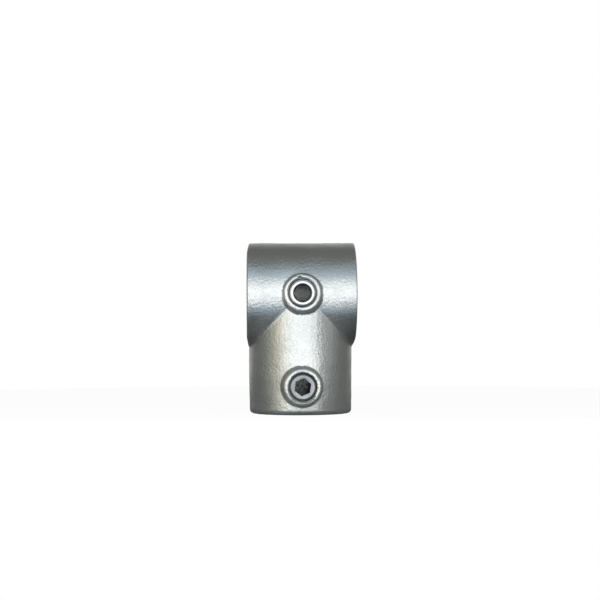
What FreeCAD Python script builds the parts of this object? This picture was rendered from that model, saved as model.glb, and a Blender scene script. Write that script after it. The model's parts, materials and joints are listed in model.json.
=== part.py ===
import FreeCAD, Part
import math
import os

import Sketcher
from FreeCAD import Vector

# Tube clamp tee: one malleable iron casting that joins two tubes of the same size at a right
# angle, and the two hollow set screws that clamp them. Lengths are in millimetres.
# The origin is where the two bore axes cross. +X runs along the through sleeve, the branch
# points down -Z, and the bosses of the set screws face -Y.

doc = FreeCAD.newDocument("tube_clamp_tee")
sheet = doc.addObject("Spreadsheet::Sheet", "Sizes")

driving_sizes = {
    # the tubes and the walls round them
    "tube_diameter": 42.4,
    "tube_play": 1.0,
    "sleeve_wall": 5.8,
    "branch_wall": 5.5,
    "branch_reach": 63.0,
    "sleeve_overhang": 1.3,
    # the ring inside the branch that stops its tube
    "stop_ring_thickness": 2.3,
    "stop_ring_width": 4.7,
    # the rounded and broken edges of the casting
    "sleeve_end_edge": 0.4,
    "mouth_radius": 2.0,
    "bore_edge": 0.8,
    # the two bosses
    "boss_height": 3.4,
    "boss_root_depth": 4.0,
    "boss_draft": 5.0,
    "boss_wall": 3.15,
    "boss_shoulder_radius": 1.6,
    "boss_to_mouth": 1.65,
    # the tapped holes and the set screws in them
    "tapped_diameter": 14.95,
    "tapped_edge": 0.3,
    "screw_play": 0.1,
    "screw_recess": 0.3,
    "screw_to_bore": 0.2,
    "face_bevel_width": 1.1,
    "face_bevel_depth": 0.9,
    "point_bevel_width": 0.9,
    "point_bevel_depth": 0.8,
    "cup_edge_width": 0.6,
    "cup_depth": 1.1,
    "key_width": 8.0,
    "through_key_turn": 30.0,
    "branch_key_turn": 8.0,
}
for row, (name, number) in enumerate(driving_sizes.items(), start=1):
    sheet.set(f"A{row}", name)
    sheet.set(f"B{row}", str(number))
    sheet.setAlias(f"B{row}", name)
doc.recompute()

# Sizes that follow from the driving ones
bore = "(Sizes.tube_diameter + Sizes.tube_play)"
sleeve_outside = f"({bore} + 2 * Sizes.sleeve_wall)"
branch_outside = f"({bore} + 2 * Sizes.branch_wall)"
sleeve_length = f"({branch_outside} + 2 * Sizes.sleeve_overhang)"
socket_depth = f"(Sizes.branch_reach - {bore} / 2 - Sizes.stop_ring_thickness)"
stop_opening = f"({bore} - 2 * Sizes.stop_ring_width)"
boss_reach = f"({sleeve_outside} / 2 + Sizes.boss_height)"
boss_depth = "(Sizes.boss_height + Sizes.boss_root_depth)"
boss_face = "(Sizes.tapped_diameter + 2 * Sizes.boss_wall)"
boss_root = f"({boss_face} + 2 * {boss_depth} * tan(Sizes.boss_draft))"
boss_foot = f"({boss_face} + 2 * ({boss_reach} - {branch_outside} / 2) * tan(Sizes.boss_draft))"
branch_boss_drop = f"(Sizes.branch_reach - Sizes.mouth_radius - Sizes.boss_to_mouth - {boss_foot} / 2)"
screw_radius = "((Sizes.tapped_diameter - Sizes.screw_play) / 2)"
screw_length = f"({boss_reach} - Sizes.screw_recess - {bore} / 2 - Sizes.screw_to_bore)"

tolerance = 1e-3
cuts = []


def value(expression):
    """Number that an expression on the sheet gives."""
    return float(sheet.evalExpression(expression))


def near(one, other):
    return abs(one - other) < tolerance


# Helpers for bodies, sketches and features

def new_body(label):
    body = doc.addObject("PartDesign::Body", label)
    body.Label = label
    return body


def new_sketch(body, name, plane, offset=None):
    """Sketch on one of the body's origin planes, moved along its normal by an expression."""
    sketch = body.newObject("Sketcher::SketchObject", name)
    support = next(item for item in body.Origin.OriginFeatures if item.Role == plane)
    sketch.AttachmentSupport = (support, "")
    sketch.MapMode = "FlatFace"
    if offset:
        sketch.setExpression("AttachmentOffset.Base.z", offset)
    return sketch


def bind(sketch, name, constraint, expression):
    """Add a dimension to the sketch and tie it to the sheet."""
    index = sketch.addConstraint(constraint)
    sketch.renameConstraint(index, name)
    sketch.setExpression(f"Constraints.{name}", expression)


def draw_circle(sketch, diameter, drop=None):
    """Circle about the sketch's origin, or about a point on its vertical axis below it.

    It is drawn roughly and takes its true size and place from the dimensions.
    """
    centre = Vector(0, -50, 0) if drop else Vector(0, 0, 0)
    circle = sketch.addGeometry(Part.Circle(centre, Vector(0, 0, 1), 10))
    if drop:
        sketch.addConstraint(Sketcher.Constraint("PointOnObject", circle, 3, -2))
        bind(sketch, "drop", Sketcher.Constraint("DistanceY", circle, 3, -1, 1, 50), drop)
    else:
        sketch.addConstraint(Sketcher.Constraint("Coincident", circle, 3, -1, 1))
    bind(sketch, "diameter", Sketcher.Constraint("Diameter", circle, 20), diameter)


def draw_half_section(sketch, corners):
    """Closed outline to turn about the vertical axis, from the origin round to that axis again.

    Each corner is a pair of expressions, its distance from the axis and its height.
    """
    count = len(corners)
    start = [Vector(0, 0, 0)] + [Vector(5 + i, i, 0) for i in range(1, count)]
    for i in range(count):
        sketch.addGeometry(Part.LineSegment(start[i], start[(i + 1) % count]))
    for i in range(count):
        sketch.addConstraint(Sketcher.Constraint("Coincident", i, 2, (i + 1) % count, 1))
    for i, (radius, height) in enumerate(corners):
        if radius:
            bind(sketch, f"radius{i}", Sketcher.Constraint("DistanceX", -1, 1, i, 1, 5 + i), radius)
        else:
            sketch.addConstraint(Sketcher.Constraint("PointOnObject", i, 1, -2))
        if height:
            bind(sketch, f"height{i}", Sketcher.Constraint("DistanceY", -1, 1, i, 1, max(i, 1)), height)
        else:
            sketch.addConstraint(Sketcher.Constraint("PointOnObject", i, 1, -1))


def draw_hexagon(sketch, across_flats):
    """Hexagon about the origin with a corner straight above it."""
    radius = 5
    corners = [Vector(radius * math.sin(math.radians(60 * i)), radius * math.cos(math.radians(60 * i)), 0)
               for i in range(6)]
    for i in range(6):
        sketch.addGeometry(Part.LineSegment(corners[i], corners[(i + 1) % 6]))
    guide = sketch.addGeometry(Part.Circle(Vector(0, 0, 0), Vector(0, 0, 1), radius), True)
    sketch.addConstraint(Sketcher.Constraint("Coincident", guide, 3, -1, 1))
    for i in range(6):
        sketch.addConstraint(Sketcher.Constraint("Coincident", i, 2, (i + 1) % 6, 1))
        sketch.addConstraint(Sketcher.Constraint("PointOnObject", i, 1, guide))
    for i in range(1, 6):
        sketch.addConstraint(Sketcher.Constraint("Equal", 0, i))
    sketch.addConstraint(Sketcher.Constraint("PointOnObject", 0, 1, -2))
    bind(sketch, "corner_circle", Sketcher.Constraint("Radius", guide, radius),
         f"{across_flats} / 2 / cos(30)")


def extrude(body, kind, name, sketch, length=None, reverse=False, both_ways=False):
    """Pad or Pocket; a pocket with no length goes through everything."""
    feature = body.newObject(f"PartDesign::{kind}", name)
    feature.Profile = sketch
    feature.Reversed = reverse
    feature.SideType = "Symmetric" if both_ways else "One side"
    if length:
        feature.setExpression("Length", length)
    else:
        feature.Type = "ThroughAll"
    if kind == "Pocket":
        cuts.append(feature)
    return feature


def dress_edges(body, kind, name, property_name, expression, test):
    """Fillet or chamfer on those edges of the body so far that pass the test."""
    doc.recompute()
    base = body.Tip
    chosen = [f"Edge{i}" for i, edge in enumerate(base.Shape.Edges, start=1)
              if not edge.Degenerated and test(edge)]
    if not chosen:
        raise RuntimeError(f"{name} finds no edge")
    feature = body.newObject(f"PartDesign::{kind}", name)
    feature.Base = (base, chosen)
    feature.setExpression(property_name, expression)
    return feature


# The casting

def is_circle(edge, radius):
    return isinstance(edge.Curve, Part.Circle) and near(edge.Curve.Radius, radius)


def is_at_sleeve_end(edge, diameter):
    return is_circle(edge, value(diameter) / 2) and near(abs(edge.Curve.Center.x), value(sleeve_length) / 2)


def is_at_mouth(edge, diameter):
    return is_circle(edge, value(diameter) / 2) and near(edge.Curve.Center.z, -value("Sizes.branch_reach"))


def is_at_boss_face(edge, diameter):
    return is_circle(edge, value(diameter) / 2) and near(edge.Curve.Center.y, -value(boss_reach))


def add_boss(body, name, drop=None):
    """Round boss that stands out of the wall, narrower towards its face."""
    section = new_sketch(body, f"{name}_section", "XZ_Plane", f"{boss_reach} - {boss_depth}")
    draw_circle(section, boss_root, drop)
    boss = extrude(body, "Pad", name, section, boss_depth)
    boss.setExpression("TaperAngle", "-Sizes.boss_draft")


def add_tapped_hole(body, name, drop=None):
    """Hole at the thread's inner diameter, from the boss face into the bore."""
    section = new_sketch(body, f"{name}_section", "XZ_Plane", boss_reach)
    draw_circle(section, "Sizes.tapped_diameter", drop)
    extrude(body, "Pocket", name, section, boss_reach)


def build_tee_body():
    body = new_body("tee_body")

    # the round outside of the sleeve and the branch
    sleeve_section = new_sketch(body, "sleeve_section", "YZ_Plane")
    draw_circle(sleeve_section, sleeve_outside)
    extrude(body, "Pad", "sleeve", sleeve_section, sleeve_length, both_ways=True)
    branch_section = new_sketch(body, "branch_section", "XY_Plane")
    draw_circle(branch_section, branch_outside)
    extrude(body, "Pad", "branch", branch_section, "Sizes.branch_reach", reverse=True)
    dress_edges(body, "Chamfer", "sleeve_end_edges", "Size", "Sizes.sleeve_end_edge",
                lambda edge: is_at_sleeve_end(edge, sleeve_outside))
    dress_edges(body, "Fillet", "rounded_mouth", "Radius", "Sizes.mouth_radius",
                lambda edge: is_at_mouth(edge, branch_outside))

    # the bosses, rounded off round their faces
    add_boss(body, "through_boss")
    add_boss(body, "branch_boss", branch_boss_drop)
    dress_edges(body, "Fillet", "boss_shoulders", "Radius", "Sizes.boss_shoulder_radius",
                lambda edge: is_at_boss_face(edge, boss_face))

    # the bores
    bore_section = new_sketch(body, "bore_section", "YZ_Plane")
    draw_circle(bore_section, bore)
    extrude(body, "Pocket", "through_bore", bore_section, both_ways=True)
    socket_section = new_sketch(body, "socket_section", "XY_Plane", "-Sizes.branch_reach")
    draw_circle(socket_section, bore)
    extrude(body, "Pocket", "branch_socket", socket_section, socket_depth, reverse=True)
    opening_section = new_sketch(body, "opening_section", "XY_Plane", "-Sizes.branch_reach")
    draw_circle(opening_section, stop_opening)
    extrude(body, "Pocket", "stop_ring_opening", opening_section, "Sizes.branch_reach", reverse=True)
    dress_edges(body, "Chamfer", "bore_edges", "Size", "Sizes.bore_edge",
                lambda edge: is_at_sleeve_end(edge, bore) or is_at_mouth(edge, bore))

    # the holes for the set screws
    add_tapped_hole(body, "through_tapped_hole")
    add_tapped_hole(body, "branch_tapped_hole", branch_boss_drop)
    dress_edges(body, "Chamfer", "tapped_hole_edges", "Size", "Sizes.tapped_edge",
                lambda edge: is_at_boss_face(edge, "Sizes.tapped_diameter"))
    return body


# The set screws

def build_set_screw(label, key_turn, drop=None):
    """Hollow set screw: bevelled face, cup point and a hexagon socket all the way through.

    It is turned about its own Y axis from its face at y = 0 inwards, and then set in its hole.
    """
    body = new_body(label)
    point_radius = f"({screw_radius} - Sizes.point_bevel_width)"
    section = new_sketch(body, "turned_section", "XY_Plane")
    draw_half_section(section, [
        (None, None),
        (f"{screw_radius} - Sizes.face_bevel_width", None),
        (screw_radius, "Sizes.face_bevel_depth"),
        (screw_radius, f"{screw_length} - Sizes.point_bevel_depth"),
        (point_radius, screw_length),
        (f"{point_radius} - Sizes.cup_edge_width", screw_length),
        (None, f"{screw_length} - Sizes.cup_depth"),
    ])
    turned = body.newObject("PartDesign::Revolution", "turned")
    turned.Profile = section
    turned.ReferenceAxis = (section, ["V_Axis"])
    turned.Angle = 360

    socket_section = new_sketch(body, "socket_section", "XZ_Plane")
    draw_hexagon(socket_section, "Sizes.key_width")
    extrude(body, "Pocket", "key_socket", socket_section)

    body.Placement.Rotation = FreeCAD.Rotation(Vector(0, 1, 0), 0)
    body.setExpression("Placement.Rotation.Angle", key_turn)
    body.setExpression("Placement.Base.y", f"Sizes.screw_recess - {boss_reach}")
    if drop:
        body.setExpression("Placement.Base.z", f"-{drop}")
    return body


def check_document(parts):
    """Stop if a feature failed, a cut removed nothing or a piece isn't one valid solid."""
    failed = [item.Name for item in doc.Objects
              if "Invalid" in item.State or "Error" in item.State]
    if failed:
        raise RuntimeError(f"failed: {failed}")
    for cut in cuts:
        if cut.Shape.Volume >= cut.BaseFeature.Shape.Volume - tolerance:
            raise RuntimeError(f"{cut.Name} cuts nothing")
    for part in parts:
        shape = part.Shape
        if shape.isNull() or not shape.isValid() or len(shape.Solids) != 1:
            raise RuntimeError(f"{part.Label} isn't one valid solid")


parts = [
    build_tee_body(),
    build_set_screw("through_set_screw", "Sizes.through_key_turn"),
    build_set_screw("branch_set_screw", "Sizes.branch_key_turn", branch_boss_drop),
]
doc.recompute()
check_document(parts)

os.makedirs("parts", exist_ok=True)
for part in parts:
    part.Shape.exportStep(f"parts/{part.Label}.step")
    box = part.Shape.optimalBoundingBox()
    spans = " x ".join(f"{span:.2f}" for span in (box.XLength, box.YLength, box.ZLength))
    print(f"{part.Label}: {part.Shape.Volume:.1f} mm3, {spans} mm")
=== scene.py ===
import json
import math

import bmesh
import bpy
import numpy as np
from mathutils import Matrix, Vector


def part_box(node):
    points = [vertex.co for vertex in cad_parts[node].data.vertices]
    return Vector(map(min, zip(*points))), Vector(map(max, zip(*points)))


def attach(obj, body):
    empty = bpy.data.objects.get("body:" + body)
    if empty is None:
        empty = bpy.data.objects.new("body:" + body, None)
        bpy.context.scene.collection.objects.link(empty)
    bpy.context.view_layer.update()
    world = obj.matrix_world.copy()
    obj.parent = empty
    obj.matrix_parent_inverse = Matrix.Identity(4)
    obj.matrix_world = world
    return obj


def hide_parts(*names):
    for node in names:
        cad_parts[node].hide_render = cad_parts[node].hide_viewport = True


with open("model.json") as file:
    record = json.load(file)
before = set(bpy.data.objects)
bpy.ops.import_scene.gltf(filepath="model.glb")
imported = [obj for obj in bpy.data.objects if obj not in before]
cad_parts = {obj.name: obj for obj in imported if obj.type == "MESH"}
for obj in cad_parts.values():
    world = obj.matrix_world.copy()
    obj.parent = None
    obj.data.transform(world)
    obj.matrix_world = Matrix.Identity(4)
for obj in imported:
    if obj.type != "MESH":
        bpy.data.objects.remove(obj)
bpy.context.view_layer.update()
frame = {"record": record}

# Tube clamp tee in hot-dip galvanised iron, with its two hollow set screws.
# Shapes are worked out in millimetres, in the frame's own axes, and scaled to metres
# when their mesh is made: X along the sleeve, the branch down -Z, the bosses towards -Y.
mm = 0.001


def cadRange(node):
    low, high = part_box(node)
    return np.array(low) / mm, np.array(high) / mm


def boreRadius(name):
    mounts = frame["record"]["mounts"]
    return next(mount["dims"]["r_mm"] for mount in mounts if mount["name"] == name)


teeLow, teeHigh = cadRange("tee_body")
throughLow, throughHigh = cadRange("through_set_screw")
branchLow, branchHigh = cadRange("branch_set_screw")
throughScrewZ = (throughLow[2] + throughHigh[2]) / 2
branchScrewZ = (branchLow[2] + branchHigh[2]) / 2


# Mesh helpers

def newPiece(name, points, faces):
    mesh = bpy.data.meshes.new(name)
    mesh.from_pydata((np.asarray(points, float) * mm).tolist(), [], [list(face) for face in faces])
    piece = bpy.data.objects.new(name, mesh)
    bpy.context.scene.collection.objects.link(piece)
    return piece


def combine(piece, tool, operation):
    # boolean with a closed tool, which is used up
    modifier = piece.modifiers.new(operation, "BOOLEAN")
    modifier.operation = operation
    modifier.solver = "MANIFOLD"
    modifier.object = tool
    graph = bpy.context.evaluated_depsgraph_get()
    mesh = bpy.data.meshes.new_from_object(piece.evaluated_get(graph))
    piece.modifiers.clear()
    old = piece.data
    piece.data = mesh
    bpy.data.meshes.remove(old)
    bpy.data.objects.remove(tool)
    piece.data.name = piece.name


def shadeSmooth(piece, sharpAngle):
    mesh = piece.data
    mesh.polygons.foreach_set("use_smooth", [True] * len(mesh.polygons))
    mesh.set_sharp_from_angle(angle=math.radians(sharpAngle))
    mesh.update()


def turned(name, profile, around, centreZ):
    # closed solid turned about an axis along Y; the profile runs from axis to axis as (radius, y)
    angles = [2 * math.pi * i / around for i in range(around)]
    points = [(0, profile[0][1], centreZ)]
    for radius, y in profile[1:-1]:
        points += [(radius * math.cos(a), y, centreZ + radius * math.sin(a)) for a in angles]
    points.append((0, profile[-1][1], centreZ))
    rings = len(profile) - 2
    faces = [(0, 1 + i, 1 + (i + 1) % around) for i in range(around)]
    for ring in range(rings - 1):
        a, b = 1 + ring * around, 1 + (ring + 1) * around
        faces += [(a + i, b + i, b + (i + 1) % around, a + (i + 1) % around) for i in range(around)]
    last = 1 + (rings - 1) * around
    faces += [(last + i, len(points) - 1, last + (i + 1) % around) for i in range(around)]
    return newPiece(name, points, faces)


# The thread, a 55 degree pipe thread cut parallel
thread = {
    "pitch": 1.337,
    "crest": 8.14,           # radius over the screw's crests
    "root": 7.32,            # radius at the bottom of the screw's grooves
    "tapCrest": 8.21,        # radius at the bottom of the tapped grooves
    "tapRoot": 7.30,         # radius over the ridges between them
    "play": 0.05,            # along the axis, between the flanks
    "flankAngle": 27.5,
    "tipDrop": 0.05,         # how far the edges of a crest lie below its middle
    "tipShares": (0.1, 0.25),  # of a flank, how far each edge's rounding reaches outwards and inwards
    "rootFlat": 0.04,        # half of the least flat between two flanks
    "around": 144,
    "tapTurns": 10,
    "tapAhead": 1.5,         # turns by which the tap starts in front of the bosses
    "screwTurns": 12,
    "screwAhead": 3.5,
    "runsOutAt": (118, -85), # where each thread runs out of its boss's face, degrees from +X towards +Z
}


def threadedRod(name, crest, root, grow, startY, turns, centreZ, runOut):
    # closed rod with one right-handed helical ridge; a screw and its tapped hole share the phase
    pitch, around = thread["pitch"], thread["around"]
    middle = pitch / 2
    flat = pitch / 6 + 2 * grow
    flank = (crest - root) * math.tan(math.radians(thread["flankAngle"]))
    flank = min(flank, (pitch - flat) / 2 - thread["rootFlat"])
    tipEdge = crest - thread["tipDrop"]
    tipOut, tipIn = (share * flank for share in thread["tipShares"])
    section = [
        (root, 0.0),
        (root, middle - flat / 2 - flank),
        (tipEdge, middle - flat / 2 - tipOut),
        (crest, middle - flat / 2 + tipIn),
        (crest, middle + flat / 2 - tipIn),
        (tipEdge, middle + flat / 2 + tipOut),
        (root, middle + flat / 2 + flank),
    ]
    count = len(section)
    rows = turns * count
    columns = rows + 1

    def pointAt(row, column):
        radius, along = section[row % count]
        angle = math.radians(runOut) - 2 * math.pi * column / around
        y = startY + (row // count + column / around) * pitch + along
        return radius * math.cos(angle), y, centreZ + radius * math.sin(angle)

    points = [pointAt(row, column) for column in range(around) for row in range(columns)]
    faces = []
    for i in range(around - 1):
        a, b = i * columns, (i + 1) * columns
        faces += [(a + k, b + k, b + k + 1, a + k + 1) for k in range(rows)]
    last = (around - 1) * columns
    faces += [(last + k, k + count, k + 1 + count, last + k + 1) for k in range(rows - count)]

    # one more turn of rows closes the last column
    extra = len(points)
    points += [pointAt(rows + k, 0) for k in range(1, count + 1)]
    upper = [rows] + [extra + k for k in range(count)]
    under = last + rows - count
    faces += [(under + k, upper[k], upper[k + 1], under + k + 1) for k in range(count)]

    near, far = len(points), len(points) + 1
    points.append((0, startY, centreZ))
    points.append((0, startY + (turns + 1) * pitch, centreZ))
    lowRim = [i * columns for i in range(around)] + list(range(count, 0, -1))
    highRim = [i * columns + rows for i in range(around)] + upper[:0:-1]
    faces += [(near, lowRim[(i + 1) % len(lowRim)], lowRim[i]) for i in range(len(lowRim))]
    faces += [(far, highRim[i], highRim[(i + 1) % len(highRim)]) for i in range(len(highRim))]
    return newPiece(name, points, faces)


# The casting, as one field of signed distances that is meshed at the end
casting = {
    "sleeveRadius": 27.28,
    "branchRadius": 27.28,
    "branchTaper": 0.0125,   # how much narrower the branch gets for each millimetre down
    "taperFrom": -30.0,
    "endInset": 0.01,        # keeps the sleeve's ends inside the solid's
    "endEdge": 0.6,          # rounding round the sleeve's ends
    "mouthEdge": 2.3,        # rounding round the branch's mouth
    "crease": 0.9,           # blend where sleeve and branch meet square
    "boreEdge": 0.7,
    "socketFloor": -24.0,
    "stopOpening": 17.0,
    "ringEdge": 0.8,
    "bossRadius": 10.18,     # at the height of its face, before the shoulder is rounded
    "bossSlope": 5.0,        # degrees
    "bossShoulder": 1.85,
    "bossFoot": 0.35,
    "bossDepth": 12.0,       # behind the faces, where bosses and holes end inside the walls
    "bossShift": ((0.12, -0.6), (-0.35, 0.33)),  # each boss's side beside its hole, in X and Z
    "shiftDepths": (0.3, 2.5),                   # behind the face, where the shift starts and is full
    "holeRadius": 7.38,
    "holeEdge": 0.2,
    "nick": (-1.35, 8.25),   # a small knock in the upper boss's rim, X and Z from its hole
    "nickRadius": 0.62,
    "nickStretch": 1.6,      # along X
    "nickSunk": 0.1,         # its middle lies this far behind the boss's face
    "nickEdge": 0.08,
    "waves": 10,             # long waves that make the cast skin wander
    "waveLengths": (9, 26),
    "waveSum": 3,            # about what they come to where they add up
    "uneven": 0.07,          # how far the skin wanders
    "unevenLimit": 0.1,
    "seamHeight": 0.10,      # parting line in the plane of both bores
    "seamWidth": 0.5,
    "seamLeft": (0.55, 0.45),            # share that the grinding left of it, and how that share swings
    "seamSwing": (0.21, -0.17, 0.6),     # along X and Z, and where it starts
    "proudest": 0.19,        # nothing stands out of the skin further than this
    "gateMiddle": 16.6,      # the ground-off gate on top of the sleeve
    "gateHalfLength": 4.8,
    "gateHalfWidth": 3.2,
    "gateFadeX": (0.5, -0.3),            # from the gate's edge, where its height starts and is full
    "gateFadeY": (0.6, -0.4),
    "gateHeight": 0.16,
    "cornerFrom": 21.5,      # top left corner of the sleeve, taken off when the flash was ground away
    "cornerRelief": 1.3,
    "footFrom": -22.5,       # both ends lean in where the sleeve runs into the branch
    "footRelief": 0.9,
    "reliefCurve": 1.2,      # above 1 the relief starts gently
    "sharpAngle": 50,
    "seed": 7,
}


def smoothStep(low, high, value):
    t = np.clip((value - low) / (high - low), 0, 1)
    return t * t * (3 - 2 * t)


random = np.random.default_rng(casting["seed"])
waveLengths = random.uniform(*casting["waveLengths"], casting["waves"])
waveDirections = random.normal(size=(casting["waves"], 3))
waveDirections /= np.linalg.norm(waveDirections, axis=1)[:, None]
wavePhases = random.uniform(0, 2 * math.pi, casting["waves"])


def castSkin(x, y, z):
    # long waves all over, and the parting line, which was ground off unevenly
    total = 0
    for length, direction, phase in zip(waveLengths, waveDirections, wavePhases):
        along = direction[0] * x + direction[1] * y + direction[2] * z
        total = total + np.sin(2 * math.pi / length * along + phase)
    wander = np.minimum(casting["uneven"] * total / casting["waveSum"], casting["unevenLimit"])
    share, swing = casting["seamLeft"]
    alongX, alongZ, start = casting["seamSwing"]
    left = share + swing * np.sin(alongX * x + alongZ * z + start)
    seam = casting["seamHeight"] * left * np.exp(-(y / casting["seamWidth"]) ** 2)
    startX, fullX = (casting["gateHalfLength"] + step for step in casting["gateFadeX"])
    startY, fullY = (casting["gateHalfWidth"] + step for step in casting["gateFadeY"])
    lengthwise = smoothStep(startX, fullX, abs(x - casting["gateMiddle"]))
    across = smoothStep(startY, fullY, abs(y))
    gate = casting["gateHeight"] * lengthwise * across * (z > 0)
    return np.minimum(wander + np.maximum(seam, gate), casting["proudest"])


def roundUnion(a, b, radius):
    reach = np.hypot(np.maximum(radius - a, 0), np.maximum(radius - b, 0))
    return np.maximum(radius, np.minimum(a, b)) - reach


def roundCorner(a, b, radius):
    return -roundUnion(-a, -b, radius)


def bossField(x, y, z, centreZ, shift):
    slope = math.radians(casting["bossSlope"])
    depth = y - teeLow[1]
    share = smoothStep(*casting["shiftDepths"], depth)
    across = np.hypot(x - shift[0] * share, z - centreZ - shift[1] * share)
    side = (across - casting["bossRadius"] - depth * math.tan(slope)) * math.cos(slope)
    boss = roundCorner(side, -depth, casting["bossShoulder"])
    return np.maximum(boss, depth - casting["bossDepth"])


def endRelief(x, z):
    # how far the sleeve's ends stand back, at the top left and at both feet
    radius, top, foot = casting["sleeveRadius"], casting["cornerFrom"], casting["footFrom"]
    share = np.clip((z - top) / (radius - top), 0, 1)
    relief = casting["cornerRelief"] * share ** casting["reliefCurve"] * (x < 0)
    share = np.clip((foot - z) / (foot + radius), 0, 1)
    return relief + casting["footRelief"] * share ** casting["reliefCurve"]


def castingField(x, y, z):
    skin = castSkin(x, y, z)
    aroundX = np.hypot(y, z)
    aroundZ = np.hypot(x, y)
    halfLength = teeHigh[0] - casting["endInset"]
    wall = aroundX - casting["sleeveRadius"] - skin
    sleeve = roundCorner(wall, abs(x) + endRelief(x, z) - halfLength, casting["endEdge"])
    taper = casting["branchTaper"] * np.maximum(casting["taperFrom"] - z, 0)
    wall = aroundZ - casting["branchRadius"] + taper - skin
    branch = roundCorner(wall, teeLow[2] - z, casting["mouthEdge"])
    branch = np.maximum(branch, z)

    # the blend fades out where both skins face the same way, at the front and back
    sameWay = np.clip(y * y / np.maximum(aroundX * aroundZ, 1), 0, 1)
    solid = roundUnion(sleeve, branch, casting["crease"] * (1 - sameWay) + 1e-6)
    for centreZ, shift in zip((throughScrewZ, branchScrewZ), casting["bossShift"]):
        solid = roundUnion(solid, bossField(x, y, z, centreZ, shift), casting["bossFoot"])

    through = aroundX - boreRadius("through_bore")
    ringEdge = casting["ringEdge"]
    socket = roundCorner(aroundZ - boreRadius("branch_socket"), z - casting["socketFloor"], ringEdge)
    opening = np.maximum(aroundZ - casting["stopOpening"], z)
    inside = roundUnion(roundUnion(through, socket, ringEdge), opening, ringEdge)
    solid = roundCorner(solid, -inside, casting["boreEdge"])
    for centreZ in (throughScrewZ, branchScrewZ):
        hole = np.hypot(x, z - centreZ) - casting["holeRadius"]
        hole = np.maximum(hole, y - teeLow[1] - casting["bossDepth"])
        solid = roundCorner(solid, -hole, casting["holeEdge"])
    nickX, nickZ = casting["nick"]
    alongRim = (x - nickX) / casting["nickStretch"]
    fromNick = np.hypot(np.hypot(alongRim, z - throughScrewZ - nickZ), y - teeLow[1] - casting["nickSunk"])
    return roundCorner(solid, casting["nickRadius"] - fromNick, casting["nickEdge"])


def gridLine(*stretches):
    # each stretch is where it starts, where it ends and the step wanted in it
    line = [stretches[0][0]]
    for start, end, step in stretches:
        count = max(1, round((end - start) / step))
        line.extend(start + (end - start) * (i + 1) / count for i in range(count))
    return np.array(line)


def surfaceNet(field, lines):
    # one point in each cell that the surface crosses, and one face round each grid edge that it crosses
    xs, ys, zs = lines
    values = field(xs[:, None, None], ys[None, :, None], zs[None, None, :])
    inside = values < 0
    corners = [(i, j, k) for i in (0, 1) for j in (0, 1) for k in (0, 1)]
    nx, ny, nz = values.shape
    count = sum(inside[i:nx - 1 + i, j:ny - 1 + j, k:nz - 1 + k].astype(np.int8) for i, j, k in corners)
    cells = np.argwhere((count > 0) & (count < 8))
    index = -np.ones((nx - 1, ny - 1, nz - 1), int)
    index[tuple(cells.T)] = np.arange(len(cells))

    total = np.zeros((len(cells), 3))
    hits = np.zeros(len(cells))
    for corner in corners:
        for axis in range(3):
            if corner[axis]:
                continue
            a = cells + np.array(corner)
            b = a + np.eye(3, dtype=int)[axis]
            valueA, valueB = values[tuple(a.T)], values[tuple(b.T)]
            crossed = (valueA < 0) != (valueB < 0)
            share = np.where(crossed, valueA / np.where(crossed, valueA - valueB, 1), 0)
            pointA = np.stack([lines[n][a[:, n]] for n in range(3)], axis=1)
            pointB = np.stack([lines[n][b[:, n]] for n in range(3)], axis=1)
            total += np.where(crossed[:, None], pointA + share[:, None] * (pointB - pointA), 0)
            hits += crossed

    faces = []
    for axis in range(3):
        low, high = [slice(None)] * 3, [slice(None)] * 3
        low[axis], high[axis] = slice(0, -1), slice(1, None)
        edges = np.argwhere(inside[tuple(low)] != inside[tuple(high)])
        ring = []
        for stepB, stepC in ((-1, -1), (0, -1), (0, 0), (-1, 0)):
            cell = edges.copy()
            cell[:, (axis + 1) % 3] += stepB
            cell[:, (axis + 2) % 3] += stepC
            ring.append(index[tuple(cell.T)])
        ring = np.stack(ring, axis=1)
        leaving = ~inside[tuple(edges.T)]
        ring[leaving] = ring[leaving][:, ::-1]
        faces.append(ring)
    return total / hits[:, None], np.concatenate(faces)


def settle(field, points, edges, rounds, pull):
    # spread the points evenly along the surface, and set them back onto it;
    # the last rounds only set them back
    step = 1e-3
    lastRounds = 2
    leastSlope = 0.2         # squared, so that no point leaps where the field is nearly flat
    starts = np.concatenate([edges[:, 0], edges[:, 1]])
    ends = np.concatenate([edges[:, 1], edges[:, 0]])
    neighbours = np.bincount(starts, minlength=len(points))[:, None]
    offsets = step * np.eye(3)
    for turn in range(rounds + lastRounds):
        middle = np.stack([np.bincount(starts, points[ends, n], len(points)) for n in range(3)], axis=1)
        middle = middle / neighbours
        slope = np.stack([field(*(points + o).T) - field(*(points - o).T) for o in offsets], axis=1)
        slope = slope / (2 * step)
        length = np.maximum((slope ** 2).sum(axis=1), leastSlope)[:, None]
        points = points - slope * field(*points.T)[:, None] / length
        if turn < rounds:
            shift = middle - points
            shift -= slope * (shift * slope).sum(axis=1)[:, None] / length
            points = points + pull * shift
    return points


def refine(piece, field, wanted, rounds, pull):
    # halve the mesh where it is wanted, and set the new points onto the surface
    net = bmesh.new()
    net.from_mesh(piece.data)
    chosen = wanted(*(np.array([point.co for point in net.verts]) / mm).T)
    edges = [edge for edge in net.edges if chosen[edge.verts[0].index] and chosen[edge.verts[1].index]]
    bmesh.ops.subdivide_edges(net, edges=edges, cuts=1, use_grid_fill=True)
    net.verts.index_update()
    pairs = np.array([(edge.verts[0].index, edge.verts[1].index) for edge in net.edges])
    points = np.array([point.co for point in net.verts]) / mm
    for point, place in zip(net.verts, settle(field, points, pairs, rounds, pull)):
        point.co = place * mm
    net.to_mesh(piece.data)
    net.free()


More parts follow.
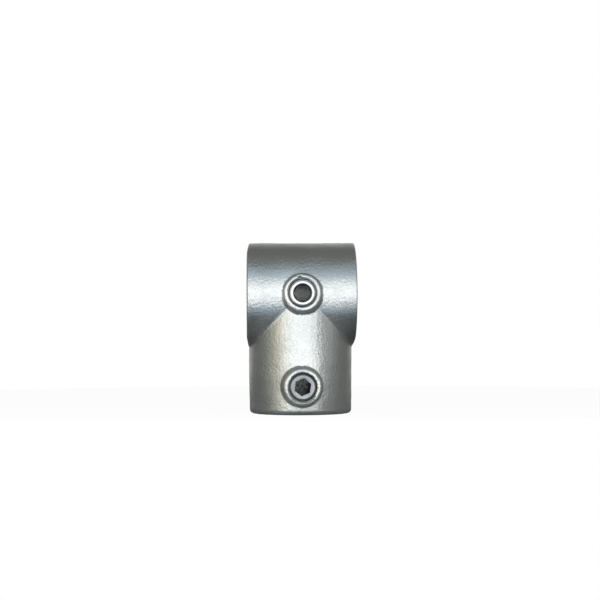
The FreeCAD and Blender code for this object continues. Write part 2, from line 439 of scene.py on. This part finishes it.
# The casting's mesh: fine round the bosses and the ends, coarser along the plain walls
grid = {
    "fine": 0.5,
    "coarse": 1.2,
    "endStep": 0.45,         # along X at the sleeve's ends
    "endDepth": 1.3,
    "reach": 12.2,           # of the fine steps, round the axis of each hole
    "bossBack": -22.0,       # Y behind the bosses
    "farSide": 28.2,         # Y of the back and Z of the top
    "margin": 0.5,
    "endRims": 1.5,          # the mesh is refined this near to the rims of the ends
    "mouthRims": (2.2, 1.2, 2.0),        # and of the mouth: outer rim, inner rim and height
    "rounds": 3,
    "pull": 0.5,
}


def nearRims(x, y, z):
    aroundX, aroundZ = np.hypot(y, z), np.hypot(x, y)
    outer = abs(aroundX - casting["sleeveRadius"]) < grid["endRims"]
    inner = abs(aroundX - boreRadius("through_bore")) < grid["endRims"]
    ends = (abs(x) > teeHigh[0] - grid["endRims"]) & (outer | inner)
    nearOuter, nearInner, height = grid["mouthRims"]
    outer = abs(aroundZ - casting["branchRadius"]) < nearOuter
    inner = abs(aroundZ - boreRadius("branch_socket")) < nearInner
    return ends | ((z < teeLow[2] + height) & (outer | inner))


def castingGrid():
    fine, coarse, endStep = grid["fine"], grid["coarse"], grid["endStep"]
    reach, bossBack, farSide = grid["reach"], grid["bossBack"], grid["farSide"]
    outer, inner = teeHigh[0] + grid["margin"], teeHigh[0] - grid["endDepth"]
    xs = gridLine((-outer, -inner, endStep), (-inner, -reach, coarse), (-reach, reach, fine),
                  (reach, inner, coarse), (inner, outer, endStep))
    ys = gridLine((teeLow[1] - grid["margin"], bossBack, fine), (bossBack, farSide, coarse))
    lowerTop, upperFoot, upperTop = branchScrewZ + reach, throughScrewZ - reach, throughScrewZ + reach
    zs = gridLine((teeLow[2] - grid["margin"], lowerTop, fine), (lowerTop, upperFoot, coarse),
                  (upperFoot, upperTop, fine), (upperTop, farSide, coarse))
    return xs, ys, zs


def buildCasting():
    points, faces = surfaceNet(castingField, castingGrid())
    sides = np.concatenate([faces[:, [i, (i + 1) % 4]] for i in range(4)])
    edges = np.unique(np.sort(sides, axis=1), axis=0)
    points = settle(castingField, points, edges, grid["rounds"], grid["pull"])
    piece = newPiece("tee_casting", points, faces)
    refine(piece, castingField, nearRims, grid["rounds"], grid["pull"])
    startY = teeLow[1] - thread["tapAhead"] * thread["pitch"]
    for centreZ, runOut in zip((throughScrewZ, branchScrewZ), thread["runsOutAt"]):
        tap = threadedRod("tap", thread["tapCrest"], thread["tapRoot"], thread["play"], startY,
                          thread["tapTurns"], centreZ, runOut)
        combine(piece, tap, "DIFFERENCE")
    shadeSmooth(piece, casting["sharpAngle"])
    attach(piece, "casting")
    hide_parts("tee_body")
    return piece


# The set screws: threaded blank with a bevelled face, a hexagon socket right through and a cup point
screw = {
    "faceRadius": 6.15,
    "faceEdge": 0.12,        # tiny rounding round the face, and its corners, outwards and back
    "faceCorners": ((-2, 0), (-0.7, 0.3), (1, 1.4)),
    "faceSlope": 0.75,       # how fast the bevel falls back
    "pointRadius": 6.5,
    "pointSlope": 0.89,
    "cupEdge": 0.6,
    "cupDepth": 1.1,
    "blankRadius": 8.6,
    "keyWidth": 8.0,
    "keyCorner": 0.25,       # half of each worn corner, along the side
    "keyWear": 0.06,         # how much is gone at its middle
    "keyOver": 1,            # how far the key's tool stands out at both ends
    "coneOver": 0.5,         # how far the cone's tool stands out in front
    "socketReach": 5.0,      # the painted shade of the socket ends within this radius
    "socketSoft": 0.1,
    "groovePast": 0.75,      # the painted shade of the thread starts this far outside the face
    "grooveSoft": 0.25,
    "around": 144,
    "sharpAngle": 40,
}
# key turn in degrees, radius of the cone that leads into the socket, how fast the cone falls,
# how deep the socket's painted shade starts, and how dark the thread's groove is painted as shade
throughScrewForm = {"turn": 30, "cone": 5.0, "coneSlope": 0.9, "darkFrom": 0.25, "grooveShade": 0.85}
branchScrewForm = {"turn": 8, "cone": 5.95, "coneSlope": 0.2, "darkFrom": 0.5, "grooveShade": 0.4}


def screwBlank(name, faceY, pointY, centreZ):
    face, point, blank = screw["faceRadius"], screw["pointRadius"], screw["blankRadius"]
    edge = screw["faceEdge"]
    profile = [
        (0, faceY),
        *((face + out * edge, faceY + back * edge) for out, back in screw["faceCorners"]),
        (blank, faceY + (blank - face) * screw["faceSlope"]),
        (blank, pointY - (blank - point) * screw["pointSlope"]),
        (point, pointY),
        (point - screw["cupEdge"], pointY),
        (0, pointY - screw["cupDepth"]),
    ]
    return turned(name, profile, screw["around"], centreZ)


def keyTool(faceY, pointY, centreZ, turn):
    # hexagonal prism with slightly worn corners; turn is measured from a corner straight up
    half, corner = screw["keyWidth"] / 2, screw["keyCorner"]
    outline = []
    for i in range(6):
        for share in (-1, 0, 1):
            angle = math.radians(turn + 60 * i) + share * corner / half
            reach = half / math.cos(math.radians(30) - abs(share) * corner / half)
            reach -= 0 if share else screw["keyWear"]
            outline.append((reach * math.sin(angle), centreZ + reach * math.cos(angle)))
    count = len(outline)
    ends = (faceY - screw["keyOver"], pointY + screw["keyOver"])
    points = [(x, y, z) for y in ends for x, z in outline]
    faces = [(i, (i + 1) % count, count + (i + 1) % count, count + i) for i in range(count)]
    faces += [tuple(reversed(range(count))), tuple(range(count, 2 * count))]
    return newPiece("key", points, faces)


def leadInTool(form, faceY, centreZ):
    radius, slope, over = form["cone"], form["coneSlope"], screw["coneOver"]
    profile = [
        (0, faceY - over),
        (radius + over / slope, faceY - over),
        (radius, faceY),
        (0, faceY + radius * slope),
    ]
    return turned("lead_in", profile, screw["around"], centreZ)


def buildScrew(name, node, body, low, high, form, runOut):
    faceY, pointY, centreZ = low[1], high[1], (low[2] + high[2]) / 2
    piece = screwBlank(name, faceY, pointY, centreZ)
    startY = teeLow[1] - thread["screwAhead"] * thread["pitch"]
    rod = threadedRod("rod", thread["crest"], thread["root"], 0, startY,
                      thread["screwTurns"], centreZ, runOut)
    combine(piece, rod, "INTERSECT")
    combine(piece, leadInTool(form, faceY, centreZ), "DIFFERENCE")
    combine(piece, keyTool(faceY, pointY, centreZ, form["turn"]), "DIFFERENCE")
    shadeSmooth(piece, screw["sharpAngle"])
    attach(piece, body)
    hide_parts(node)
    return piece


# Blender's own first objects go
for name in ("Cube", "Light", "Camera"):
    if name in bpy.data.objects:
        bpy.data.objects.remove(bpy.data.objects[name])

teeCasting = buildCasting()
print("casting:", len(teeCasting.data.vertices), "points,", len(teeCasting.data.polygons), "faces")
throughScrew = buildScrew("through_screw", "through_set_screw", "through_screw",
                          throughLow, throughHigh, throughScrewForm, thread["runsOutAt"][0])
branchScrew = buildScrew("branch_screw", "branch_set_screw", "branch_screw",
                         branchLow, branchHigh, branchScrewForm, thread["runsOutAt"][1])
print("screws:", len(throughScrew.data.polygons), "and", len(branchScrew.data.polygons), "faces")


# Camera, as the photograph was taken: far away, a little to the left, nearly level
cameraView = {
    "place": (-32.2, -782.1, -22.4),
    "turn": 2.348,           # degrees to the right of straight ahead
    "tilt": 1.425,           # degrees upwards
    "roll": -0.146,
    "focalPixels": 1469.0,   # in an image of this width
    "imageWidth": 600,
    "sensorWidth": 36.0,
    "clip": (0.01, 50),      # metres
}


def addCamera():
    turn, tilt, roll = (math.radians(cameraView[name]) for name in ("turn", "tilt", "roll"))
    ahead = Vector((math.sin(turn) * math.cos(tilt), math.cos(turn) * math.cos(tilt), math.sin(tilt)))
    level = Vector((math.cos(turn), -math.sin(turn), 0))
    upright = level.cross(ahead)
    right = math.cos(roll) * level + math.sin(roll) * upright
    up = math.cos(roll) * upright - math.sin(roll) * level
    data = bpy.data.cameras.new("photo_camera")
    data.sensor_width = cameraView["sensorWidth"]
    data.lens = cameraView["focalPixels"] * cameraView["sensorWidth"] / cameraView["imageWidth"]
    data.clip_start, data.clip_end = cameraView["clip"]
    camera = bpy.data.objects.new("photo_camera", data)
    bpy.context.scene.collection.objects.link(camera)
    turnMatrix = Matrix((right, up, -ahead)).transposed().to_4x4()
    camera.matrix_world = Matrix.Translation(Vector(cameraView["place"]) * mm) @ turnMatrix
    bpy.context.scene.camera = camera


addCamera()


# Materials

class NodeSheet:
    # small helper that adds and joins shader nodes

    def __init__(self, tree):
        self.tree = tree
        tree.nodes.clear()

    def add(self, kind, inputs=None, **settings):
        node = self.tree.nodes.new("ShaderNode" + kind)
        for name, value in settings.items():
            setattr(node, name, value)
        for name, value in (inputs or {}).items():
            socket = node.inputs[name]
            if isinstance(value, bpy.types.NodeSocket):
                self.tree.links.new(value, socket)
            else:
                socket.default_value = value
        return node

    def math(self, operation, a, b=0.0, c=0.0):
        return self.add("Math", {0: a, 1: b, 2: c}, operation=operation).outputs[0]

    def ramp(self, value, low, high, toLow=0.0, toHigh=1.0):
        inputs = {"Value": value, "From Min": low, "From Max": high, "To Min": toLow, "To Max": toHigh}
        return self.add("MapRange", inputs).outputs["Result"]

    def distance(self, a, b):
        return self.math("SQRT", self.math("MULTIPLY_ADD", a, a, self.math("MULTIPLY", b, b)))

    def inside(self, value, limit, soft=0.15):
        return self.ramp(value, limit + soft, limit - soft)

    def outside(self, value, limit, soft):
        return self.ramp(value, limit - soft, limit + soft)

    def noise(self, place, scale, detail, roughness):
        inputs = {"Vector": place, "Scale": scale, "Detail": detail, "Roughness": roughness}
        return self.add("TexNoise", inputs).outputs["Fac"]

    def mixColour(self, share, a, b, blend="MIX"):
        node = self.add("Mix", data_type="RGBA", blend_type=blend)
        for socket, value in ((node.inputs[0], share), (node.inputs[6], a), (node.inputs[7], b)):
            if isinstance(value, bpy.types.NodeSocket):
                self.tree.links.new(value, socket)
            else:
                socket.default_value = value
        return node.outputs[2]


def newMaterial(name):
    material = bpy.data.materials.new(name)
    material.use_nodes = True
    return material, NodeSheet(material.node_tree)


def castingPaintedShade(sheet, x, y, z):
    # painted shade: the tapped holes and the knock are painted dark, and both bores a little darker and
    # rougher than the outside
    past = castingZinc["borePast"]
    bore = sheet.inside(sheet.distance(y, z), boreRadius("through_bore") + past)
    socket = sheet.inside(sheet.distance(x, y), boreRadius("branch_socket") + past)
    socket = sheet.math("MULTIPLY", socket, sheet.inside(z, castingZinc["socketTop"]))
    bores = sheet.math("MAXIMUM", bore, socket)
    total = sheet.math("MULTIPLY", bores, castingZinc["boreShade"])
    soft = castingZinc["holeSoft"]
    for centreZ in (throughScrewZ, branchScrewZ):
        across = sheet.distance(x, sheet.math("SUBTRACT", z, centreZ))
        hole = sheet.inside(across, casting["holeRadius"] - soft, soft)
        front = sheet.inside(y, teeLow[1] + casting["bossDepth"])
        total = sheet.math("MAXIMUM", total, sheet.math("MULTIPLY", hole, front))
    nickX, nickZ = casting["nick"]
    alongRim = sheet.math("MULTIPLY", sheet.math("SUBTRACT", x, nickX), 1 / casting["nickStretch"])
    fromNick = sheet.distance(alongRim, sheet.math("SUBTRACT", z, throughScrewZ + nickZ))
    nick = sheet.inside(fromNick, casting["nickRadius"], castingZinc["nickSoft"])
    nick = sheet.math("MULTIPLY", nick, sheet.inside(y, teeLow[1] + castingZinc["nickDepth"]))
    return sheet.math("MAXIMUM", total, nick)


def castingCalm(sheet, x, y, z):
    # the ends, the mouth and the bores are smoother than the walls
    ends = sheet.ramp(sheet.math("ABSOLUTE", x), *(teeHigh[0] - depth for depth in castingZinc["calmEnds"]))
    mouth = sheet.ramp(z, *(teeLow[2] + height for height in castingZinc["calmMouth"]))
    bore = sheet.inside(sheet.distance(y, z), boreRadius("through_bore") + castingZinc["borePast"])
    return sheet.math("MAXIMUM", bore, sheet.math("MAXIMUM", ends, mouth))


def castingPaintedLightAndShade(sheet, x, y, z, patches):
    # painted shade and painted light on the front: darker under both ends of the sleeve and in the corners
    # beside the branch, lighter on the branch low down left of the middle
    tone = 1.0
    ragged = sheet.math("MULTIPLY_ADD", patches, castingZinc["zoneRagged"], -castingZinc["zoneRagged"] / 2)
    for middleX, middleZ, reachX, reachZ, change in castingZinc["zones"]:
        sideways = sheet.ramp(x, middleX - reachX, middleX + reachX, -1.0, 1.0)
        upwards = sheet.ramp(z, middleZ - reachZ, middleZ + reachZ, -1.0, 1.0)
        away = sheet.math("ADD", sheet.distance(sideways, upwards), ragged)
        share = sheet.ramp(away, *castingZinc["zoneFade"])
        share = sheet.math("MULTIPLY", share, sheet.inside(y, *castingZinc["zoneFront"]))
        tone = sheet.math("MULTIPLY_ADD", share, change, tone)
    return tone


def screwPaintedShade(form, centreZ, faceY):
    # painted shade in the hexagon socket and in the thread; the rims at both ends get none
    soft = screw["socketSoft"]
    socketRadius = min(form["cone"], screw["socketReach"]) - soft

    def recess(sheet, x, y, z):
        across = sheet.distance(x, sheet.math("SUBTRACT", z, centreZ))
        deep = sheet.outside(y, faceY + form["darkFrom"], soft)
        socket = sheet.math("MULTIPLY", sheet.inside(across, socketRadius, soft), deep)
        groove = sheet.outside(across, screw["faceRadius"] + screw["groovePast"], screw["grooveSoft"])
        return sheet.math("MAXIMUM", socket, sheet.math("MULTIPLY", groove, form["grooveShade"]))
    return recess


# What every zinc does with its noises: their detail and roughness, the range that is used
# of each, and what the range is turned into
zincWork = {
    "patches": (3, 0.6),
    "dapple": (2, 0.55),
    "grain": (2, 0.6),
    "streaks": (2, 0.5),
    "stretch": (1, 1, 0.14),         # draws the streaks out along Z
    "patchRange": (0.35, 0.7),
    "patchDulls": 0.5,
    "grainRange": (0.3, 0.7),
    "grainDulls": 0.4,
    "roughRange": (0.7, 1.3),        # of patches and dapple together
    "recessRoughens": 0.15,
    "lively": (0.11, 1, 0.5),        # scale, detail and roughness
    "livelyRange": (0.36, 0.62, 0.55, 1.35),
}


def zincMaterial(name, settings, recess, calm=None, toneOf=None):
    material, sheet = newMaterial(name)
    metres = sheet.add("TexCoord").outputs["Object"]
    place = sheet.add("VectorMath", {0: metres, "Scale": 1 / mm}, operation="SCALE").outputs[0]
    x, y, z = sheet.add("SeparateXYZ", {0: place}).outputs
    drawnOut = sheet.add("VectorMath", {0: place, 1: zincWork["stretch"]}, operation="MULTIPLY").outputs[0]
    patches, dapple, grain, streaks = (
        sheet.noise(where, settings[part], *zincWork[part])
        for part, where in (("patches", place), ("dapple", place), ("grain", place), ("streaks", drawnOut))
    )
    fromGrain = sheet.math("MULTIPLY", sheet.ramp(grain, *zincWork["grainRange"]), zincWork["grainDulls"])
    fromPatches = sheet.ramp(patches, *zincWork["patchRange"])
    dullness = sheet.math("MULTIPLY_ADD", fromPatches, zincWork["patchDulls"], fromGrain)
    skin = sheet.mixColour(dullness, settings["bright"], settings["dull"])
    # the painted light and shade of the zones multiply the zinc's colour
    if toneOf:
        tone = toneOf(sheet, x, y, z, patches)
        grey = sheet.add("CombineColor", {0: tone, 1: tone, 2: tone}).outputs[0]
        skin = sheet.mixColour(1.0, skin, grey, "MULTIPLY")
    # painted shade: this mask darkens the zinc towards its shade colour in the holes, sockets and grooves,
    # and also roughens it
    shade = recess(sheet, x, y, z)
    colour = sheet.mixColour(shade, skin, settings["recess"])
    both = sheet.math("ADD", patches, dapple)
    rough = sheet.ramp(both, *zincWork["roughRange"], *settings["roughness"])
    rough = sheet.math("MULTIPLY_ADD", shade, zincWork["recessRoughens"], rough)

    # the dapples are strong in some places and faint in others
    lively = sheet.ramp(sheet.noise(place, *zincWork["lively"]), *zincWork["livelyRange"])
    waves = sheet.math("MULTIPLY", sheet.math("SUBTRACT", dapple, 0.5), lively)
    height = sheet.math("MULTIPLY", waves, settings["dappleDepth"] * mm)
    for part, depth in ((grain, "grainDepth"), (streaks, "streakDepth")):
        height = sheet.math("MULTIPLY_ADD", sheet.math("SUBTRACT", part, 0.5), settings[depth] * mm, height)
    if calm:
        left = sheet.ramp(calm(sheet, x, y, z), 0, 1, 1, settings["calmed"])
        height = sheet.math("MULTIPLY", height, left)
    bump = sheet.add("Bump", {"Height": height, "Distance": 1.0, "Strength": 1.0})
    shader = sheet.add("BsdfPrincipled", {
        "Base Color": colour,
        "Metallic": 1.0,
        "Roughness": rough,
        "Normal": bump.outputs["Normal"],
    })
    sheet.add("OutputMaterial", {"Surface": shader.outputs["BSDF"]})
    return material


# noise scales are per millimetre, depths in millimetres
castingZinc = {
    "bright": (0.575, 0.583, 0.583, 1),
    "dull": (0.453, 0.461, 0.457, 1),
    # painted shade colour of the tapped holes, the knock and the bores
    "recess": (0.18, 0.18, 0.175, 1),
    "roughness": (0.29, 0.41),
    "patches": 0.07,
    "dapple": 0.78,
    "grain": 1.9,
    "streaks": 0.6,          # across the drips that ran down while the zinc drained
    "dappleDepth": 0.17,
    "grainDepth": 0.04,
    "streakDepth": 0.10,
    # how much of the painted shade the bores get
    "boreShade": 0.1,
    "borePast": 0.3,         # how far past the bores' radius their shade reaches
    "socketTop": -1.0,       # Z above which the branch's bore has no shade of its own
    "holeSoft": 0.05,
    "nickSoft": 0.25,
    "nickDepth": 1.2,
    "calmed": 0.35,          # what is left of the bump where the skin is calm
    "calmEnds": (0.9, 0.2),  # depths between which that starts and is full
    "calmMouth": (7.0, 0.5),
    "zoneRagged": 0.6,       # how far the patches push a zone's edge in and out, as a share of its reach
    "zoneFade": (1.0, 0.2),  # shares of its reach at which its change starts and is full
    "zoneFront": (-1.0, 1.0),  # the zones end at this Y, and how softly
    # middle X and Z, reach in X and Z, change of tone: painted shade where it is below 0, painted light
    # where above
    "zones": [
        (28.0, -15.0, 11.0, 15.0, -0.42),
        (-27.0, -15.0, 6.0, 12.0, -0.22),
        (27.0, -24.0, 6.0, 6.0, -0.22),
        (-27.0, -25.0, 6.0, 6.0, -0.25),
        (-9.0, -57.5, 9.0, 8.0, 0.34),
    ],
}
# both set screws are the same zinc: the through screw's copy is painted lighter, as painted light, and the
# branch screw's darker, as painted shade
paintedLitScrewZinc = {
    "bright": (0.66, 0.67, 0.68, 1),
    "dull": (0.52, 0.53, 0.54, 1),
    # painted shade colour of the socket and the thread
    "recess": (0.10, 0.10, 0.105, 1),
    "roughness": (0.28, 0.40),
    "patches": 0.15,
    "dapple": 0.9,
    "grain": 3.0,
    "streaks": 0.6,
    "dappleDepth": 0.02,
    "grainDepth": 0.006,
    "streakDepth": 0.0,
}
paintedShadedScrewZinc = {
    "bright": (0.285, 0.298, 0.311, 1),
    "dull": (0.205, 0.216, 0.228, 1),
    # painted shade colour of the socket and the thread
    "recess": (0.15, 0.155, 0.16, 1),
    "roughness": (0.28, 0.40),
    "patches": 0.15,
    "dapple": 0.9,
    "grain": 2.4,
    "streaks": 0.6,
    "dappleDepth": 0.04,
    "grainDepth": 0.01,
    "streakDepth": 0.0,
}


def paint(piece, material):
    piece.data.materials.clear()
    piece.data.materials.append(material)


throughPaintedShade = screwPaintedShade(throughScrewForm, throughScrewZ, throughLow[1])
branchPaintedShade = screwPaintedShade(branchScrewForm, branchScrewZ, branchLow[1])
castingSkin = zincMaterial("galvanised_casting", castingZinc, castingPaintedShade, castingCalm, castingPaintedLightAndShade)
paint(teeCasting, castingSkin)
paint(throughScrew, zincMaterial("bright_screw", paintedLitScrewZinc, throughPaintedShade))
paint(branchScrew, zincMaterial("dull_screw", paintedShadedScrewZinc, branchPaintedShade))
print("materials done")


# Studio: broad soft light from the camera's side, a dim room, and white paper behind the fitting
studio = {
    "room": 0.02,
    "roomSides": 0.22,       # the room is lighter to the sides and above
    "roomTop": 0.17,
    "roomColour": (0.98, 1.0, 0.92, 1),
    "paperFrom": 0.62,       # how far round the paper reaches, as the Y part of a direction
    "paperFull": 0.90,
    "paperMirrored": 0.70,   # of the paper as the zinc mirrors it
    "tableMiddle": (0, 170), # the sheet that the fitting stands on
    "tableReach": (340, 255),
    "tableTone": 0.8,
    "mirroredTone": 0.45,    # of the sheet as the zinc mirrors it
    "tableAround": 96,
    "tableGlow": 1.1,        # lifts the sheet to white for the camera
    "glowShare": 0.85,
    "lampDistance": 1000,
}

# name, degrees to the right and degrees up that each one spans, radiance, colour
softLights = [
    ("key_softbox", (-22, 24), (-18, 0), 0.45, (1, 1, 1)),
    ("front_softbox", (-36, 36), (-19, 26), 1.90, (0.97, 1, 1)),
    ("top_softbox", (-36, 36), (26, 62), 0.69, (0.63, 0.82, 1)),
    ("left_softbox", (-52, -36), (-22, 26), 1.23, (1, 0.93, 0.73)),
    ("left_card", (-78, -52), (-22, 26), 0.36, (1, 0.94, 0.74)),
    ("right_card", (36, 75), (-22, 26), 0.31, (0.93, 1, 1)),
    ("low_card", (-36, 36), (-60, -25), 0.79, (0.55, 0.78, 1)),
    ("low_left_card", (-75, -36), (-60, -25), 1.60, (0.85, 0.84, 1)),
]


def paintWorld():
    world = bpy.data.worlds.new("studio")
    bpy.context.scene.world = world
    world.use_nodes = True
    sheet = NodeSheet(world.node_tree)
    rays = sheet.add("LightPath").outputs
    direction = sheet.add("SeparateXYZ", {0: sheet.add("TexCoord").outputs["Generated"]}).outputs
    paper = sheet.ramp(direction["Y"], studio["paperFrom"], studio["paperFull"])
    mirrored = sheet.math("MAXIMUM", rays["Is Glossy Ray"], rays["Is Transmission Ray"])
    mirrored = sheet.math("MULTIPLY", mirrored, studio["paperMirrored"])
    white = sheet.math("MAXIMUM", rays["Is Camera Ray"], sheet.math("MULTIPLY", mirrored, paper))
    sideways = sheet.math("ABSOLUTE", direction["X"])
    sides = sheet.math("MULTIPLY_ADD", sideways, studio["roomSides"], studio["room"])
    room = sheet.math("MULTIPLY_ADD", sheet.math("MAXIMUM", direction["Z"], 0.0), studio["roomTop"], sides)
    strength = sheet.ramp(white, 0, 1, room, 1.0)
    colour = sheet.mixColour(white, studio["roomColour"], (1, 1, 1, 1))
    background = sheet.add("Background", {"Color": colour, "Strength": strength})
    sheet.add("OutputWorld", {"Surface": background.outputs[0]})


def addSoftbox(name, across, upright, radiance, colour):
    # radiance 1 seen in a perfect mirror would be plain white
    side, up = math.radians(sum(across) / 2), math.radians(sum(upright) / 2)
    distance = studio["lampDistance"] * mm
    data = bpy.data.lights.new(name, "AREA")
    data.shape = "RECTANGLE"
    data.size = 2 * distance * math.tan(math.radians(across[1] - across[0]) / 2) * math.cos(up)
    data.size_y = 2 * distance * math.tan(math.radians(upright[1] - upright[0]) / 2)
    data.energy = radiance * math.pi * data.size * data.size_y
    data.color = colour
    lamp = bpy.data.objects.new(name, data)
    bpy.context.scene.collection.objects.link(lamp)
    away = Vector((math.sin(side) * math.cos(up), -math.cos(side) * math.cos(up), math.sin(up)))
    lamp.location = away * distance
    lamp.rotation_euler = away.to_track_quat("Z", "Y").to_euler()


def addFloor():
    (middleX, middleY), (reachX, reachY) = studio["tableMiddle"], studio["tableReach"]
    around = studio["tableAround"]
    angles = [2 * math.pi * i / around for i in range(around)]
    rim = [(middleX + reachX * math.cos(a), middleY + reachY * math.sin(a), teeLow[2]) for a in angles]
    floor = newPiece("floor", rim, [range(around)])
    material, sheet = newMaterial("white_paper")
    rays = sheet.add("LightPath").outputs
    tone = sheet.ramp(rays["Is Glossy Ray"], 0, 1, studio["tableTone"], studio["mirroredTone"])
    grey = sheet.add("CombineColor", {0: tone, 1: tone, 2: tone}).outputs[0]
    matt = sheet.add("BsdfDiffuse", {"Color": grey}).outputs[0]
    glow = sheet.add("Emission", {"Color": (1, 1, 1, 1), "Strength": studio["tableGlow"]}).outputs[0]
    share = sheet.math("MULTIPLY", rays["Is Camera Ray"], studio["glowShare"])
    blend = sheet.add("MixShader", {0: share, 1: matt, 2: glow})
    sheet.add("OutputMaterial", {"Surface": blend.outputs[0]})
    floor.data.materials.append(material)


paintWorld()
for light in softLights:
    addSoftbox(*light)
addFloor()
bpy.context.scene.view_settings.view_transform = "Standard"
print("studio done")
